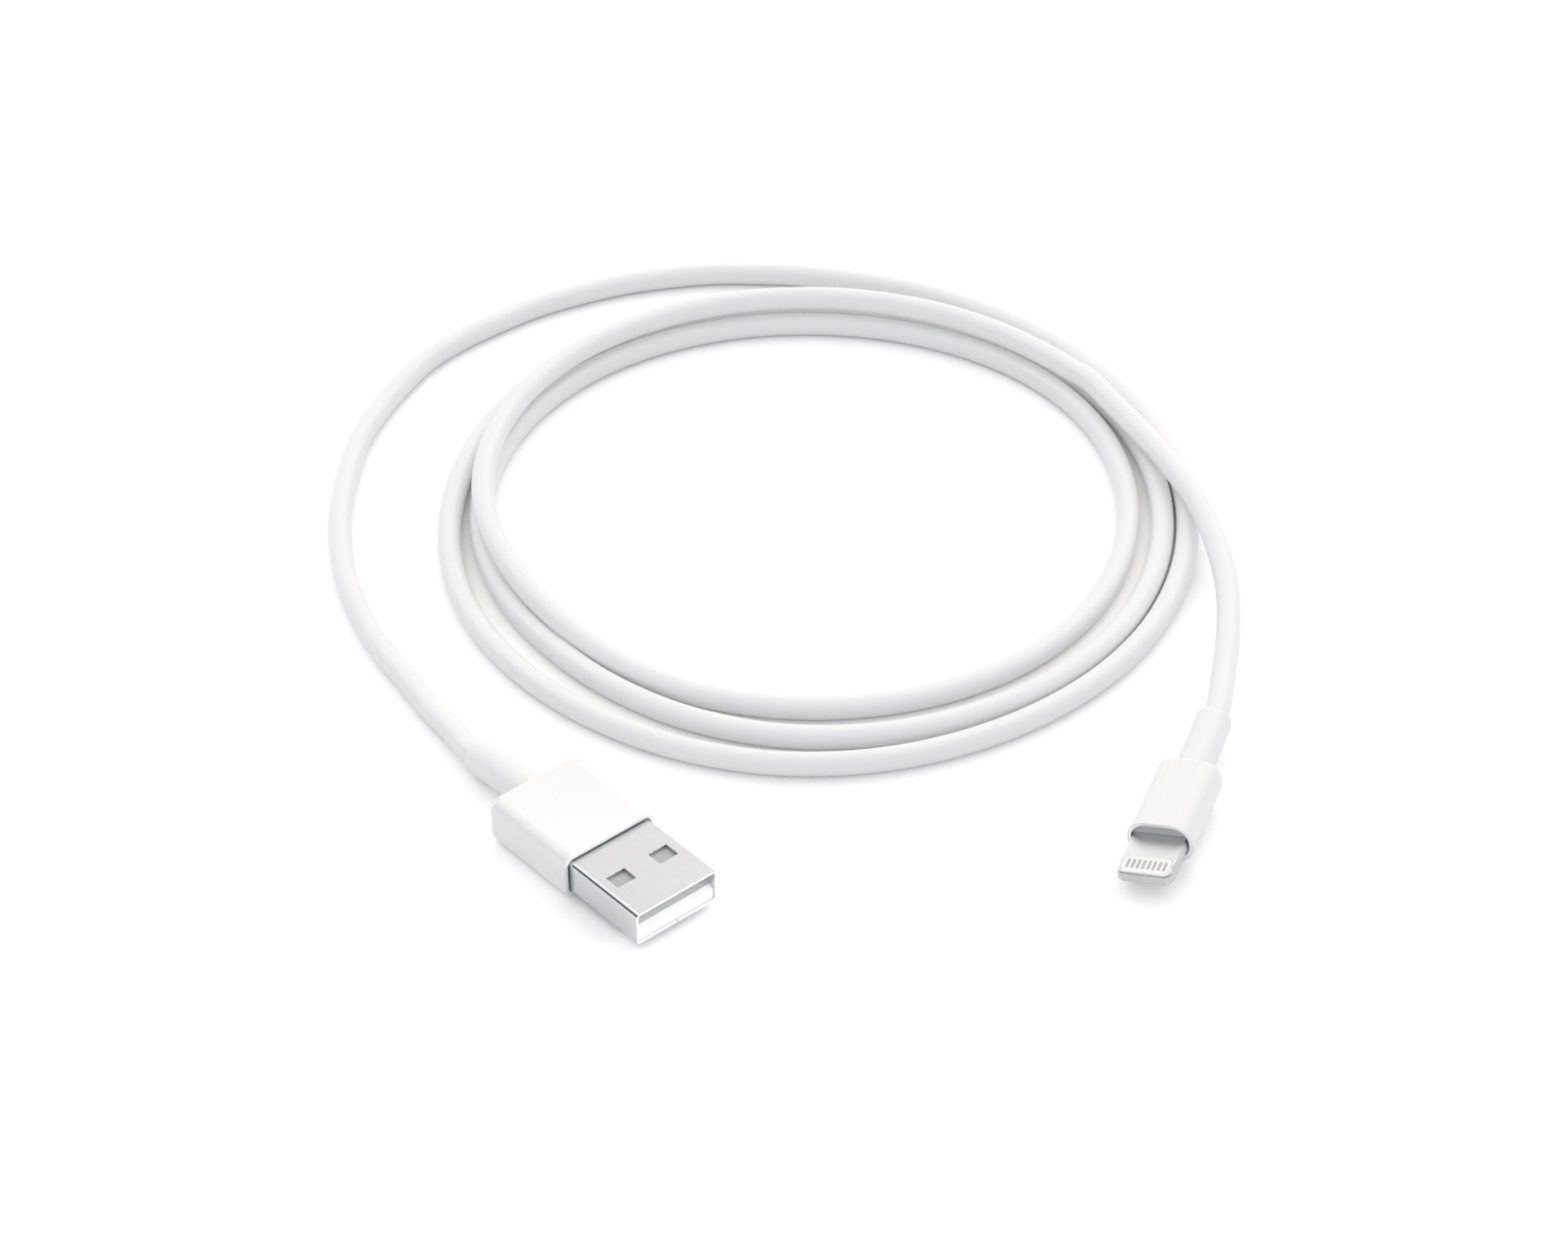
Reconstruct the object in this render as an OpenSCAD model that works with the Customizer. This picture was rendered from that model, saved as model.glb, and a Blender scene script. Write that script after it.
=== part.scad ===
// Charging cable: a USB-A plug and a small eight-contact tip plug, joined by one cord
// that lies in three and a half loose loops. Millimetres, +Z up, the table is z = 0.
// The origin is on the table under the middle of the USB plug's housing, and +X is
// the way that plug goes into its socket.

/* [Cord] */
// Diameter of the cord's jacket
cord_d = 3; // [2.6:0.1:3.2]
// Height by which the last turn climbs over the turns below it
coil_lift = 3.45; // [3.45:0.05:5]
// Diameter of one conductor with its insulation
wire_d = 0.7; // [0.5:0.05:0.8]

/* [USB housing] */
// Length of the moulded grip
usb_len = 14; // [13:0.2:18]
// Width of the moulded grip
usb_w = 13.6; // [13.4:0.1:16]
// Height of the moulded grip
usb_h = 6.2; // [6:0.1:8]
// Rounding of the grip's four long edges
usb_edge_r = 1.6; // [0.8:0.1:2.2]
// Rounding of the grip's corners seen from above, at the cord end
usb_plan_r = 0.6; // [0.6:0.1:2.4]
// Rounding of the edges round the cord end, seen from the side
usb_back_r = 0.3; // [0.3:0.1:1.2]
// Diameter of the strain relief
usb_relief_d = 4.4; // [4:0.1:5]
// Length of the strain relief
usb_relief_len = 11.2; // [8:0.2:16]
// Rounding of a strain relief's free end
relief_round = 0.6; // [0.3:0.1:0.6]

/* [USB shell] */
// Width of the metal shell
shell_w = 12; // [11.6:0.1:12.4]
// Height of the metal shell
shell_h = 4.5; // [4.3:0.1:4.8]
// Thickness of the shell's sheet
shell_t = 0.3; // [0.2:0.05:0.4]
// Outside radius of the shell's bends
shell_r = 0.6; // [0.5:0.05:0.8]
// Length of shell that stands out of the grip
shell_out = 12.1; // [11.5:0.1:12.5]
// Length of shell held inside the grip
shell_in = 6; // [4:0.5:7]
// Distance of the latch windows from the grip's front
window_x = 4.8; // [4:0.1:6]
// Length of a latch window
window_len = 2.2; // [1.8:0.1:2.6]
// Width of a latch window
window_w = 2.7; // [2:0.1:3]
// Distance between the centres of the two windows of a row
window_pitch = 6.3; // [5.6:0.1:7]
// Width of the shell's folded seam
seam_w = 0.05; // [0.05:0.01:0.2]
// Width of the dovetail that locks the seam, at its wide end
dovetail_w = 2; // [1.4:0.1:3]
// Length of that dovetail
dovetail_len = 1.6; // [1:0.1:2.4]

/* [USB contacts] */
// Thickness of the plastic tongue
tongue_t = 1.9; // [1.7:0.05:2.1]
// Distance of the tongue's end behind the shell's mouth
tongue_back = 0.25; // [0.1:0.05:0.6]
// Chamfer along the tongue's upper front edge
tongue_chamfer = 0.5; // [0.2:0.1:0.8]
// Depth of the socket space behind the mouth
socket_depth = 8.8; // [8:0.1:9.5]
// Width of a contact strip
contact_w = 1; // [0.8:0.05:1.2]
// Thickness of a contact strip
contact_t = 0.25; // [0.2:0.05:0.3]
// Height by which a contact strip stands out of the tongue
contact_proud = 0.1; // [0.05:0.01:0.15]
// Distance between the two outer contacts' centres
outer_pitch = 7; // [6.8:0.1:7.2]
// Distance between the two inner contacts' centres
inner_pitch = 2; // [1.9:0.1:2.4]
// Distance of the outer contacts' ends behind the shell's mouth
outer_back = 1.7; // [1.2:0.1:2.2]
// Distance by which the inner contacts are shorter
inner_short = 1; // [0.5:0.1:1.5]
// Length of the solder tails behind the shell
tail_len = 2.5; // [2:0.1:2.9]

/* [USB shield] */
// Width of the shield over the solder joints
can_w = 11.2; // [10.4:0.1:11.4]
// Height of the shield over the solder joints
can_h = 4.4; // [4.2:0.1:4.5]
// Length of the shield over the solder joints
can_len = 6.3; // [6.1:0.1:6.7]
// Thickness of the sheet of both plugs' shields
can_t = 0.2; // [0.1:0.05:0.3]

/* [Tip housing] */
// Length of the moulded grip
tip_len = 12.3; // [12:0.1:16]
// Width of the moulded grip
tip_w = 8; // [7.8:0.1:9]
// Height of the moulded grip
tip_h = 5.4; // [5:0.1:6.4]
// Rounding of the grip's long edges
tip_edge_r = 2.5; // [1.8:0.1:2.5]
// Rounding of the edges round the cord end
tip_back_r = 0.5; // [0.3:0.1:1]
// Thickness of the thin rim at the front
rim_t = 0.5; // [0.3:0.05:0.6]
// Depth of the recess inside the rim
rim_depth = 0.5; // [0.3:0.1:0.8]
// Diameter of the strain relief
tip_relief_d = 4.4; // [4.2:0.1:5]
// Length of the strain relief
tip_relief_len = 10.6; // [8:0.2:16]

/* [Tip tongue] */
// Length of the metal tongue in front of the grip
blade_len = 6.6; // [6:0.1:7]
// Width of the metal tongue
blade_w = 6.7; // [6.6:0.1:6.8]
// Thickness of the metal tongue
blade_t = 1.5; // [1.4:0.05:1.6]
// Rounding of the tongue's front corners seen from above
blade_corner_r = 0.9; // [0.5:0.1:1.3]
// Chamfer round the tongue's front end
blade_chamfer = 0.25; // [0.1:0.05:0.4]
// Distance of the side notches behind the tongue's end
notch_back = 1.9; // [1.4:0.1:2.4]
// Radius of the side notches
notch_r = 0.55; // [0.4:0.05:0.7]
// Depth of the side notches
notch_depth = 0.3; // [0.2:0.05:0.35]
// Length of the plastic inserts, along the tongue
insert_len = 2.9; // [2.2:0.1:3]
// Width of the plastic inserts
insert_w = 5.8; // [5.6:0.1:6]
// Corner rounding of the plastic inserts
insert_r = 0.75; // [0.4:0.05:1]
// Distance of the inserts behind the tongue's end
insert_back = 0.25; // [0.25:0.05:1]
// Number of contacts on each side of the tongue
pad_count = 8; // [4:1:8]
// Distance between two neighbouring contacts
pad_pitch = 0.64; // [0.55:0.01:0.68]
// Length of a contact
pad_len = 1.5; // [1:0.1:1.8]
// Width of a contact
pad_w = 0.3; // [0.2:0.02:0.4]
// Height by which a contact stands out of its insert
pad_proud = 0.02; // [0.01:0.01:0.05]

/* [Tip inside] */
// Width of the circuit board
board_w = 4.9; // [4.4:0.1:5]
// Thickness of the circuit board
board_t = 0.6; // [0.4:0.05:0.8]
// Length of the circuit board inside the grip
board_in = 7.4; // [6.8:0.1:7.8]
// Width of the shield round the circuit board
box_w = 6; // [5.6:0.1:6]
// Height of the shield round the circuit board
box_h = 3.2; // [3:0.1:3.2]
// Length of the shield round the circuit board
box_len = 8; // [8:0.1:8.2]

/* [Fits] */
// Clearance between a moulded-in piece and what holds it
seat = 0.02; // [0.01:0.01:0.04]
// Thickness of the crimp rings round the cord's ends
crimp_t = 0.3; // [0.2:0.05:0.35]
// Length of the crimp rings
crimp_len = 1.2; // [0.8:0.1:1.4]

/* [Placement] */
// X of the middle of the tip plug's rim
tip_x = 47.4; // [47:0.1:49]
// Y of the middle of the tip plug's rim
tip_y = 49.8; // [49:0.1:51]
// Direction in which the tip plug points
tip_yaw = -62.5; // [-66:0.5:-60]
// Angle by which the tip plug's nose dips
tip_dip = 3; // [1:0.5:5]
// Angle by which the tip plug lies rolled about its length
tip_roll = 10; // [0:1:15]

/* [Hidden] */
$fn = 48;
cord_r = cord_d / 2;
axis_z = usb_h / 2;
front_x = usb_len / 2;
back_x = -usb_len / 2;
mouth_x = front_x + shell_out;
root_x = front_x - shell_in;
cave_x = mouth_x - socket_depth;
tongue_x = mouth_x - tongue_back;
tongue_z = axis_z - shell_h / 2 + shell_t + tongue_t;
can_x = root_x - can_len;
box_x = -rim_depth - 0.5;
box_end = box_x - box_len;
slot_r = tip_edge_r - rim_t;

// height of the tip plug's axis when its lowest long edge just touches the table
tip_z = sin(tip_roll) * cos(tip_dip) * (tip_w / 2 - tip_edge_r)
      + cos(tip_roll) * cos(tip_dip) * (tip_h / 2 - tip_edge_r)
      + cos(tip_dip) * tip_edge_r;
tip_dir = [cos(tip_dip) * cos(tip_yaw), cos(tip_dip) * sin(tip_yaw), -sin(tip_dip)];

// Coil: the radius of the turns about coil_c at every eighth of a turn, clockwise from
// 135 degrees. The first and the last value only steer the ends.
coil_c = [-30.1, 63.4];
coil_from = 135;
coil_r = [58.9,
    54.3, 50.3, 49.2, 50.2, 51.3, 48.6, 45.9, 46.6,
    46.5, 46.6, 45.4, 46.2, 46.0, 42.9, 42.2, 42.9,
    42.9, 43.1, 41.5, 41.3, 40.6, 39.9, 42.0, 43.8,
    44.2, 44.5, 50.5,
    61.6];
coil_steps = len(coil_r) - 3;
// the climb over the turns below starts and ends at these eighths of a turn
climb_from = 20.3;
climb_to = 21.7;
rings_per_step = 3;

// Free stretches: route points between the strain reliefs and the coil.
usb_points = [
    [-24.5, 0.9, 2.2], [-29.5, 1.7, 1.7], [-35.1, 2.9, 1.5], [-41.1, 4, 1.5],
    [-47.1, 5.5, 1.5], [-52.6, 7.5, 1.5], [-58.1, 10, 1.5], [-63.1, 13, 1.5],
    [-68.1, 16.5, 1.5], [-72.6, 20.5, 1.5], [-76.6, 24.5, 1.5], [-80.6, 29, 1.5],
    [-84.1, 34.5, 1.5], [-87.1, 40.5, 1.5], [-89.6, 47, 1.5], [-90.6, 53.5, 1.5],
    [-90.6, 60, 1.5], [-90.1, 66.5, 1.5], [-88.6, 73, 1.5], [-86.6, 79, 1.5],
    [-83.6, 85, 1.5], [-80.1, 90.5, 1.5], [-76.1, 95, 1.5]];
tip_points = [
    [13.5, 95, 3.5], [16.9, 92.1, 3.1], [20.6, 89, 2.9], [23.9, 85.6, 3],
    [26.9, 82.3, 3.2], [29.9, 78.7, 3.45], [33, 74.9, 3.8]];

function unit(v) = v / norm(v);

// smooth value between hand-set ones: s = 0 is the second value of the list
function blend(v, i, f) = v[i + 1] + f / 2 * (v[i + 2] - v[i]
    + f * (2 * v[i] - 5 * v[i + 1] + 4 * v[i + 2] - v[i + 3]
    + f * (3 * (v[i + 1] - v[i + 2]) + v[i + 3] - v[i])));
function coil_radius(s) = let (i = min(floor(s), coil_steps - 1)) blend(coil_r, i, s - i);
function ease(x) = let (t = max(0, min(1, x))) t * t * (3 - 2 * t);
function coil_height(s) = cord_r + coil_lift * ease((s - climb_from) / (climb_to - climb_from));
function coil_point(s) = let (a = coil_from - 45 * s, r = coil_radius(s))
    [coil_c[0] + r * cos(a), coil_c[1] + r * sin(a), coil_height(s)];
function coil_dir(s) = unit(coil_point(min(s + 0.01, coil_steps)) - coil_point(max(s - 0.01, 0)));

// the coil's ends run straight for one diameter, square to the free stretches
coil_start = coil_point(0) - cord_d * coil_dir(0);
coil_end = coil_point(coil_steps) + cord_d * coil_dir(coil_steps);
coil_route = concat([coil_start],
    [for (k = [0:coil_steps * rings_per_step]) coil_point(k / rings_per_step)], [coil_end]);

usb_exit = [back_x - usb_relief_len, 0, axis_z];
tip_exit = [tip_x, tip_y, tip_z] - (tip_len + tip_relief_len) * tip_dir;
usb_route = concat([usb_exit, usb_exit - [cord_r, 0, 0]], usb_points,
    [coil_start - cord_d * coil_dir(0), coil_start]);
tip_route = concat([coil_end, coil_end + cord_d * coil_dir(coil_steps)], tip_points,
    [tip_exit - cord_r * tip_dir, tip_exit]);

// Least gap between two turns, measured on points a ninth of a step apart along the
// whole cord, and the cord's length.
cord_points = concat([for (p = usb_route) p],
    [for (k = [0:coil_steps * 9]) coil_point(k / 9)], [for (p = tip_route) p]);
cord_sums = [for (i = 0, s = 0; i < len(cord_points); s = s + (i + 1 < len(cord_points)
    ? norm(cord_points[i + 1] - cord_points[i]) : 0), i = i + 1) s];
cord_gap = min([for (i = [0:len(cord_points) - 1]) for (j = [i + 1:1:len(cord_points) - 1])
    if (cord_sums[j] - cord_sums[i] > 40) norm(cord_points[j] - cord_points[i])]) - cord_d;
echo(least_gap_between_turns_mm = cord_gap);
echo(cord_length_mm = cord_sums[len(cord_sums) - 1]);
echo(turns = coil_steps / 8);

// ---------- shared shapes ----------

// rectangle with rounded corners about the origin
module rounded(w, h, r) {
    square([w - 2 * r, h], center = true);
    square([w, h - 2 * r], center = true);
    for (sx = [-1, 1], sy = [-1, 1])
        translate([sx * (w / 2 - r), sy * (h / 2 - r)])
            circle(r);
}

// extrudes a profile drawn as Y across and Z up along X, from x0 to x1
module along_x(x0, x1) {
    translate([x0, 0, 0])
        rotate([90, 0, 90])
            linear_extrude(x1 - x0)
                children();
}

module bar(x0, x1, w, h, r) {
    along_x(x0, x1)
        rounded(w, h, r);
}

module rod(x0, x1, d) {
    translate([x0, 0, 0])
        rotate([0, 90, 0])
            cylinder(h = x1 - x0, d = d);
}

// a moulded grip from x0, its rounded cord end, to x1, its flat front
module grip(x0, x1, w, h, edge_r, plan_r, back_r) {
    intersection() {
        bar(x0, x1, w, h, edge_r);
        translate([0, 0, -h])
            linear_extrude(2 * h)
                intersection() {
                    translate([(x0 + x1) / 2 + plan_r, 0])
                        rounded(x1 - x0 + 2 * plan_r, w, plan_r);
                    translate([x0, -w])
                        square([x1 - x0, 2 * w]);
                }
        translate([0, w, 0])
            rotate([90, 0, 0])
                linear_extrude(2 * w)
                    intersection() {
                        translate([(x0 + x1) / 2 + back_r, 0])
                            rounded(x1 - x0 + 2 * back_r, h, back_r);
                        translate([x0, -h])
                            square([x1 - x0, 2 * h]);
                    }
    }
}

// strain relief: a sleeve from x0, on the grip, back to its rounded free end
module relief(x0, len, d) {
    translate([x0, 0, 0])
        rotate([0, -90, 0])
            rotate_extrude()
                difference() {
                    union() {
                        square([d / 2 - relief_round, len]);
                        square([d / 2, len - relief_round]);
                        translate([d / 2 - relief_round, len - relief_round])
                            circle(relief_round);
                    }
                    translate([-d, -1])
                        square([d + cord_r + seat, len + 2]);
                    translate([-d, -d])
                        square([2 * d, d]);
                }
}

// one half of a folded shield, open at the front: x0 is its back
module tray(x0, x1, w, h, hole) {
    difference() {
        translate([x0, -w / 2, seat / 2])
            cube([x1 - x0, w, h / 2 - seat / 2]);
        translate([x0 + can_t, -w / 2 + can_t, -1])
            cube([x1 - x0, w - 2 * can_t, h / 2 - can_t + 1]);
        translate([x0 - 1, -hole / 2, -1])
            cube([can_t + 2, hole, 1 + hole / 2]);
    }
}

// tube of radius r and n sides along a route, its end faces square to the directions a and b
module tube(route, r, a, b, n, turn) {
    m = len(route);
    t = [for (i = [0:m - 1]) i == 0 ? a : i == m - 1 ? b : unit(route[i + 1] - route[i - 1])];
    side = [for (v = t) unit(cross([0, 0, 1], v))];
    up = [for (i = [0:m - 1]) cross(t[i], side[i])];
    points = [for (i = [0:m - 1]) for (j = [0:n - 1]) let (q = turn + 360 * j / n)
        route[i] + r * (cos(q) * side[i] + sin(q) * up[i])];
    walls = [for (i = [0:m - 2]) for (j = [0:n - 1])
        let (p = i * n + j, q = i * n + (j + 1) % n)
        each [[p, q + n, q], [p, p + n, q + n]]];
    caps = [for (j = [1:n - 2]) each [[0, j, j + 1],
        [(m - 1) * n, (m - 1) * n + j + 1, (m - 1) * n + j]]];
    polyhedron(points = points, faces = concat(walls, caps));
}

// ---------- USB plug ----------

module at_axis() {
    translate([0, 0, axis_z])
        children();
}

module usb_housing() {
    color("white")
        at_axis()
            difference() {
                grip(back_x, front_x, usb_w, usb_h, usb_edge_r, usb_plan_r, usb_back_r);
                bar(root_x - seat, front_x + 1, shell_w + 2 * seat, shell_h + 2 * seat, shell_r);
                translate([can_x - seat, -can_w / 2 - seat, -can_h / 2 - seat])
                    cube([can_len + 2 * seat, can_w + 2 * seat, can_h + 2 * seat]);
                rod(can_x - crimp_len - 2 * seat, can_x, cord_d + 2 * crimp_t + 4 * seat);
                rod(back_x - 1, can_x, cord_d + 2 * seat);
            }
}

module usb_strain_relief() {
    color("whitesmoke")
        at_axis()
            relief(back_x, usb_relief_len, usb_relief_d);
}

// window cutters for both faces of the shell, and the seam with its dovetail below
module shell_cuts() {
    for (s = [-1, 1])
        translate([front_x + window_x, s * window_pitch / 2 - window_w / 2, -shell_h])
            cube([window_len, window_w, 2 * shell_h]);
}

module seam() {
    neck = dovetail_w - 0.7;
    x1 = front_x + window_x - 1;
    translate([0, 0, -shell_h / 2 - 1])
        linear_extrude(1 + shell_t + 0.1)
            union() {
                translate([root_x - 1, -seam_w / 2])
                    square([x1 - root_x + 1, seam_w]);
                difference() {
                    polygon([[x1, -neck / 2 - seam_w], [x1 + dovetail_len, -dovetail_w / 2 - seam_w],
                        [x1 + dovetail_len + seam_w, -dovetail_w / 2 - seam_w],
                        [x1 + dovetail_len + seam_w, dovetail_w / 2 + seam_w],
                        [x1 + dovetail_len, dovetail_w / 2 + seam_w], [x1, neck / 2 + seam_w]]);
                    polygon([[x1 - 1, -neck / 2], [x1, -neck / 2], [x1 + dovetail_len, -dovetail_w / 2],
                        [x1 + dovetail_len, dovetail_w / 2], [x1, neck / 2], [x1 - 1, neck / 2]]);
                }
                translate([x1 + dovetail_len, -seam_w / 2])
                    square([mouth_x - x1 - dovetail_len + 1, seam_w]);
            }
}

module usb_shell() {
    color("silver")
        at_axis()
            difference() {
                bar(root_x, mouth_x, shell_w, shell_h, shell_r);
                bar(root_x - 1, mouth_x + 1, shell_w - 2 * shell_t, shell_h - 2 * shell_t,
                    shell_r - shell_t);
                shell_cuts();
                seam();
            }
}

// strip profile: flat, with its nose turned down into the tongue
module strip(x1, grow) {
    top = tongue_z - axis_z + contact_proud;
    rotate([90, 0, 0])
        linear_extrude(contact_w + 2 * grow, center = true)
            polygon([[root_x - tail_len, top - contact_t - grow], [x1 - 0.6, top - contact_t - grow],
                [x1 - 0.2, top - contact_t - 0.35 - grow], [x1 + grow, top - contact_t - 0.35 - grow],
                [x1 + grow, top - 0.45], [x1 - 0.35, top + grow], [root_x - tail_len, top + grow]]);
}

module strips(grow) {
    for (s = [-1, 1]) {
        translate([0, s * outer_pitch / 2, 0])
            strip(mouth_x - outer_back, grow);
        translate([0, s * inner_pitch / 2, 0])
            strip(mouth_x - outer_back - inner_short, grow);
    }
}

module usb_insulator() {
    w = shell_w - 2 * shell_t - 2 * seat;
    h = shell_h - 2 * shell_t - 2 * seat;
    color("white")
        at_axis()
            difference() {
                bar(root_x, tongue_x, w, h, shell_r - shell_t);
                translate([cave_x, -shell_w, tongue_z - axis_z])
                    cube([socket_depth + 1, 2 * shell_w, shell_h]);
                translate([tongue_x, 0, tongue_z - axis_z])
                    rotate([0, 45, 0])
                        cube([tongue_chamfer * sqrt(2), 2 * shell_w, tongue_chamfer * sqrt(2)],
                            center = true);
                strips(seat);
            }
}

module usb_contacts() {
    color("gold")
        at_axis()
            strips(0);
}

module usb_shield_upper() {
    color("lightgray")
        at_axis()
            tray(can_x, root_x - seat, can_w, can_h, 2.6);
}

module usb_shield_lower() {
    color("lightgray")
        at_axis()
            mirror([0, 0, 1])
                tray(can_x, root_x - seat, can_w, can_h, 2.6);
}

module crimp(x1) {
    difference() {
        rod(x1 - crimp_len, x1, cord_d + 2 * crimp_t + 2 * seat);
        rod(x1 - crimp_len - 1, x1 + 1, cord_d + 2 * seat);
    }
}

module usb_crimp() {
    color("darkgray")
        at_axis()
            crimp(can_x - seat);
}

module usb_jacket_end() {
    color("white")
        at_axis()
            rod(back_x - usb_relief_len, can_x - seat, cord_d);
}

// a conductor from the jacket's end to the top of the solder tail at y1
module usb_wire(y0, z0, y1) {
    top = tongue_z - axis_z + contact_proud + wire_d / 2 + seat;
    x0 = can_x - seat;
    x1 = root_x - tail_len;
    at_axis()
        tube([[x0, y0, z0], [x0 + 0.5, y0, z0], [x1 - 0.4, y1, top], [x1 + 1, y1, top]],
            wire_d / 2, [1, 0, 0], [1, 0, 0], 8, 22.5);
}

module wire_red() {
    color("red")
        usb_wire(0.55, 0.5, outer_pitch / 2);
}

module wire_white() {
    color("white")
        usb_wire(0.55, -0.5, inner_pitch / 2);
}

module wire_green() {
    color("green")
        usb_wire(-0.55, -0.5, -inner_pitch / 2);
}

module wire_black() {
    color("black")
        usb_wire(-0.55, 0.5, -outer_pitch / 2);
}

// ---------- cord ----------

module usb_lead() {
    color("white")
        tube(usb_route, cord_r, [-1, 0, 0], coil_dir(0), 8, 0);
}

module cable_coil() {
    color("white")
        tube(coil_route, cord_r, coil_dir(0), coil_dir(coil_steps), 6, 30);
}

module tip_lead() {
    color("white")
        tube(tip_route, cord_r, coil_dir(coil_steps), tip_dir, 8, 0);
}

// ---------- tip plug: local +X is the way it points, x = 0 is its rim ----------

module at_tip() {
    translate([tip_x, tip_y, tip_z])
        rotate([0, 0, tip_yaw])
            rotate([0, tip_dip, 0])
                rotate([tip_roll, 0, 0])
                    children();
}

module tip_housing() {
    color("white")
        at_tip()
            difference() {
                grip(-tip_len, 0, tip_w, tip_h, tip_edge_r, tip_back_r, tip_back_r);
                bar(-rim_depth, 1, tip_w - 2 * rim_t, tip_h - 2 * rim_t, slot_r);
                bar(box_x - seat, 0, blade_w + 2 * seat, blade_t + 2 * seat, 0.2);
                translate([box_end - seat, -box_w / 2 - seat, -box_h / 2 - seat])
                    cube([box_len + 2 * seat, box_w + 2 * seat, box_h + 2 * seat]);
                rod(box_end - crimp_len - 2 * seat, box_end, cord_d + 2 * crimp_t + 4 * seat);
                rod(-tip_len - 1, box_end, cord_d + 2 * seat);
            }
}

module tip_strain_relief() {
    color("whitesmoke")
        at_tip()
            relief(-tip_len, tip_relief_len, tip_relief_d);
}

// the tongue seen from above: square at the back, rounded in front
module blade_plan(inset) {
    r = blade_corner_r;
    w = blade_w - 2 * inset;
    intersection() {
        translate([blade_len - inset - 10, 0])
            rounded(20, w, r);
        translate([box_x, -w])
            square([20, 2 * w]);
    }
}

// centre of the insert, measured along the tongue
insert_x = blade_len - insert_back - insert_len / 2;

module tip_blade() {
    color("silver")
        at_tip()
            difference() {
                union() {
                    // body with its nose chamfered in one step above and below
                    translate([0, 0, -blade_t / 2 + blade_chamfer])
                        linear_extrude(blade_t - 2 * blade_chamfer)
                            blade_plan(0);
                    translate([0, 0, -blade_t / 2])
                        linear_extrude(blade_t)
                            blade_plan(blade_chamfer / 2);
                    // tenon inside the shield
                    translate([box_x - 1.4, -(board_w + 0.7) / 2, -0.6])
                        cube([1.5, board_w + 0.7, 1.2]);
                }
                // slot for the circuit board
                translate([box_x - 2, -board_w / 2 - seat, -board_t / 2 - seat])
                    cube([insert_x + insert_len / 2 - 0.1 - box_x + 2, board_w + 2 * seat,
                        board_t + 2 * seat]);
                // windows for the inserts, above and below
                translate([insert_x, 0, -blade_t])
                    linear_extrude(2 * blade_t)
                        rounded(insert_len + 2 * seat, insert_w + 2 * seat, insert_r);
                // side notches that the socket's springs drop into
                for (s = [-1, 1])
                    translate([blade_len - notch_back, s * (blade_w / 2 - notch_depth + notch_r), -1])
                        cylinder(h = 2, r = notch_r);
            }
}

module pads(z0, h, grow) {
    for (i = [0:pad_count - 1])
        translate([insert_x, (i - (pad_count - 1) / 2) * pad_pitch, z0])
            linear_extrude(h)
                union() {
                    square([pad_len - pad_w, pad_w + 2 * grow], center = true);
                    for (s = [-1, 1])
                        translate([s * (pad_len - pad_w) / 2, 0])
                            circle(pad_w / 2 + grow, $fn = 24);
                }
}

module insert() {
    difference() {
        translate([insert_x, 0, board_t / 2 + seat])
            linear_extrude(blade_t / 2 - board_t / 2 - seat)
                rounded(insert_len, insert_w, insert_r);
        pads(0, 2, seat / 2);
    }
}

module tip_insert_top() {
    color("white")
        at_tip()
            insert();
}

module tip_insert_bottom() {
    color("white")
        at_tip()
            mirror([0, 0, 1])
                insert();
}

module tip_contacts_top() {
    color("gold")
        at_tip()
            pads(board_t / 2 + seat, blade_t / 2 + pad_proud - board_t / 2 - seat, 0);
}

module tip_contacts_bottom() {
    color("gold")
        at_tip()
            mirror([0, 0, 1])
                pads(board_t / 2 + seat, blade_t / 2 + pad_proud - board_t / 2 - seat, 0);
}

module tip_board() {
    x1 = insert_x + insert_len / 2 - 0.2;
    color("seagreen")
        at_tip()
            translate([box_x - board_in + 0.6, -board_w / 2, -board_t / 2])
                cube([x1 - box_x + board_in - 0.6, board_w, board_t]);
}

module tip_chip() {
    color("dimgray")
        at_tip()
            translate([box_x - 4.6, -1.2, board_t / 2 + seat])
                cube([2.6, 2.4, 0.6]);
}

module tip_capacitors() {
    color("tan")
        at_tip()
            for (y = [-1.5, 0, 1.5])
                translate([box_x - 4, y - 0.25, -board_t / 2 - seat - 0.45])
                    cube([1, 0.5, 0.45]);
}

module tip_shield_upper() {
    color("lightgray")
        at_tip()
            tray(box_end, box_x - seat, box_w, box_h, 2.4);
}

module tip_shield_lower() {
    color("lightgray")
        at_tip()
            mirror([0, 0, 1])
                tray(box_end, box_x - seat, box_w, box_h, 2.4);
}

module tip_crimp() {
    color("darkgray")
        at_tip()
            crimp(box_end - seat);
}

module tip_jacket_end() {
    color("white")
        at_tip()
            rod(-tip_len - tip_relief_len, box_end - seat, cord_d);
}

module tip_wires() {
    z = board_t / 2 + wire_d / 2 + seat;
    color("gray")
        at_tip()
            for (y = [-0.4, 0.4])
                translate([0, y, z])
                    rod(box_end - seat, box_x - board_in + 1.8, wire_d);
}

usb_housing();
usb_strain_relief();
usb_shell();
usb_insulator();
usb_contacts();
usb_shield_upper();
usb_shield_lower();
usb_crimp();
usb_jacket_end();
wire_red();
wire_white();
wire_green();
wire_black();
usb_lead();
cable_coil();
tip_lead();
tip_housing();
tip_strain_relief();
tip_blade();
tip_insert_top();
tip_insert_bottom();
tip_contacts_top();
tip_contacts_bottom();
tip_board();
tip_chip();
tip_capacitors();
tip_shield_upper();
tip_shield_lower();
tip_crimp();
tip_jacket_end();
tip_wires();
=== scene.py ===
"""Charging cable: a USB-A plug and a small flat plug, joined by one cord in loose loops.

Metres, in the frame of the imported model: the table is z = 0, +X is the way the USB plug
points, and the origin lies on the table under the middle of that plug's grip.
"""

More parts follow.
